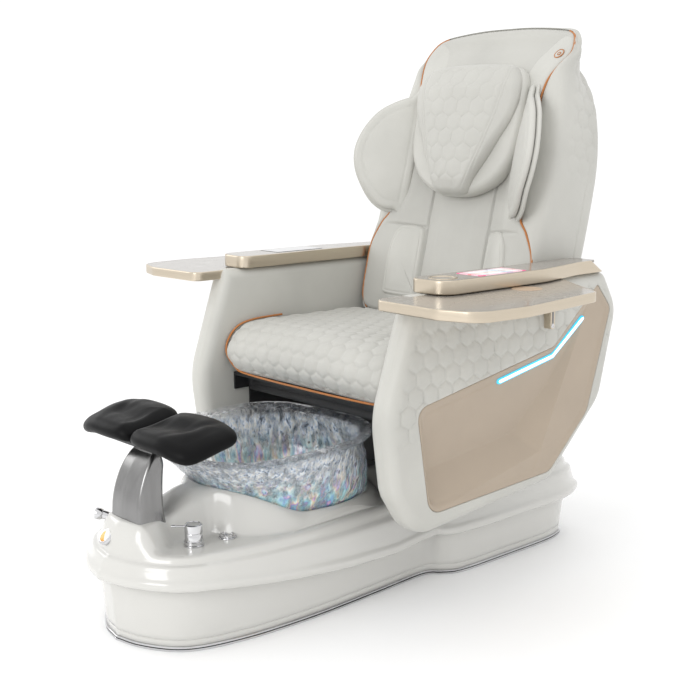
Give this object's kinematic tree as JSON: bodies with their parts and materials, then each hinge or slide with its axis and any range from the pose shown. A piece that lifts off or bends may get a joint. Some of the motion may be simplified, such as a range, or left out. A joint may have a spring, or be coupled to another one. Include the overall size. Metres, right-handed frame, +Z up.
{
  "type": "pedicure spa chair",
  "caption": "Pedicure spa chair: reclining massage seat with side trays on a moulded foot-spa base with a crystal basin and padded footrest.",
  "frame": {"origin": "on the floor, at the middle of the bounding box", "axes": "+Z up, -Y towards the footrest, +X towards the sitter's left"},
  "size_m": [1.3504, 1.5121, 1.4452],
  "materials": {
    "gelcoat": "glossy off-white gelcoat",
    "chrome": "polished",
    "satin_steel": "satin",
    "black_steel": "matt black powder coat",
    "zinc_steel": "zinc plated",
    "crystal": "clear with an iridescent ripple",
    "grey_pipe": "grey PVC",
    "black_plastic": "moulded black",
    "rubber": "matt",
    "black_pu": "moulded polyurethane with a fine grain",
    "ivory_leather": "matt, fine grain",
    "taupe_panel": "satin taupe paint",
    "champagne": "brushed, champagne anodised",
    "taupe_gloss": "satin grey-taupe",
    "light_strip": "frosted, lit from behind",
    "dark_glass": "polished",
    "amber": "amber and white button face"
  },
  "bodies": {
    "base": {"base_tub": "gelcoat", "kick_trim": "chrome", "floor_plate": "zinc_steel", "levelling_feet": "rubber", "deck_cap": "gelcoat", "basin_bowl": "crystal", "drain_flange": "chrome", "drain_pipe": "grey_pipe", "jet_housing": "grey_pipe", "jet_cover": "crystal", "jet_pump": "black_plastic", "water_inlets": "chrome", "power_inlet": "black_plastic", "control_box": "black_plastic", "pedestal": "satin_steel", "footrest_pin": "satin_steel", "button_bezel": "chrome", "faucet_body": "chrome", "shower_socket": "chrome", "chassis_tower": "black_steel", "slide_rails": "zinc_steel"},
    "stopper": {"drain_stopper": "chrome"},
    "drain_knob": {"drain_knob": "chrome"},
    "jet_impeller": {"jet_impeller": "black_plastic"},
    "footrest": {"footrest_head": "black_plastic", "footrest_pad_left": "black_pu", "footrest_pad_right": "black_pu"},
    "jet_button": {"jet_button": "amber"},
    "faucet_turret": {"faucet_turret": "chrome"},
    "faucet_lever": {"faucet_lever": "chrome"},
    "hand_shower": {"hand_shower": "chrome"},
    "chair": {"seat_frame": "black_steel", "arm_bolts": "zinc_steel", "seat_cushion": "ivory_leather", "recline_motor": "black_plastic", "arm_left": "ivory_leather", "arm_right": "ivory_leather", "arm_panel_left": "taupe_panel", "arm_panel_right": "taupe_panel", "arm_lights": "light_strip", "armrest_left": "champagne", "armrest_right": "champagne", "armrest_tops": "taupe_gloss", "cup_holder": "champagne", "touch_screen": "dark_glass", "charging_pad": "dark_glass", "tray_posts": "champagne"},
    "tray_left": {"tray_left": "champagne"},
    "tray_right": {"tray_right": "champagne"},
    "back": {"back_shell": "ivory_leather", "back_cushion": "ivory_leather", "back_frame": "zinc_steel", "recline_shaft": "satin_steel", "shoulder_wing_left": "ivory_leather", "shoulder_wing_right": "ivory_leather", "lumbar_pads": "ivory_leather"},
    "head_pillow": {"head_pillow": "ivory_leather"},
    "massage_carriage": {"massage_carriage": "zinc_steel"},
    "massage_rollers": {"massage_rollers": "black_plastic"}
  },
  "joints": [
    {"name": "drain_knob_turn", "type": "hinge", "parent": "base", "child": "drain_knob", "pos_m": [0.128, -0.478, 0.235], "axis": [0, 0, 1], "range_deg": [0, 90]},
    {"name": "stopper_lift", "type": "slide", "parent": "base", "child": "stopper", "axis": [0, 0, 1], "range_m": [0, 0.012]},
    {"name": "impeller_spin", "type": "hinge", "parent": "base", "child": "jet_impeller", "pos_m": [-0.112, -0.014, 0.352], "axis": [-0.5299, 0.848, 0], "continuous": true},
    {"name": "footrest_tilt", "type": "hinge", "parent": "base", "child": "footrest", "pos_m": [0, -0.612, 0.438], "axis": [1, 0, 0], "range_deg": [-10, 8]},
    {"name": "button_press", "type": "slide", "parent": "base", "child": "jet_button", "axis": [0, 0.7193, -0.6947], "range_m": [0, 0.003], "stiffness_N_per_m": 500},
    {"name": "faucet_turn", "type": "hinge", "parent": "base", "child": "faucet_turret", "pos_m": [0.122, -0.57, 0.27], "axis": [0, 0, 1], "range_deg": [-50, 50]},
    {"name": "lever_lift", "type": "hinge", "parent": "faucet_turret", "child": "faucet_lever", "pos_m": [0.11598, -0.57669, 0.2784], "axis": [-0.7431, 0.6691, 0], "range_deg": [0, 20]},
    {"name": "shower_lift", "type": "slide", "parent": "base", "child": "hand_shower", "axis": [0, 0, 1], "range_m": [0, 0.1]},
    {"name": "seat_slide", "type": "slide", "parent": "base", "child": "chair", "axis": [0, -1, 0], "range_m": [0, 0.12]},
    {"name": "tray_left_swing", "type": "hinge", "parent": "chair", "child": "tray_left", "pos_m": [0.424, 0.348, 0.788], "axis": [0, 0, 1], "range_deg": [0, 75]},
    {"name": "tray_right_swing", "type": "hinge", "parent": "chair", "child": "tray_right", "pos_m": [-0.424, 0.348, 0.788], "axis": [0, 0, -1], "range_deg": [0, 75]},
    {"name": "back_recline", "type": "hinge", "parent": "chair", "child": "back", "pos_m": [0, 0.47, 0.56], "axis": [-1, 0, 0], "range_deg": [0, 32]},
    {"name": "pillow_flip", "type": "hinge", "parent": "back", "child": "head_pillow", "pos_m": [0, 0.5519, 1.37409], "axis": [-1, 0, 0], "range_deg": [0, 100]},
    {"name": "massage_travel", "type": "slide", "parent": "back", "child": "massage_carriage", "axis": [0, 0.2402, 0.9707], "range_m": [-0.08, 0.36]},
    {"name": "roller_spin", "type": "hinge", "parent": "massage_carriage", "child": "massage_rollers", "pos_m": [0, 0.56588, 0.80198], "axis": [1, 0, 0], "continuous": true}
  ],
  "couplings": [
    {"joint": "drain_knob_turn", "follows": "stopper_lift", "rad_per_m": 130}
  ]
}
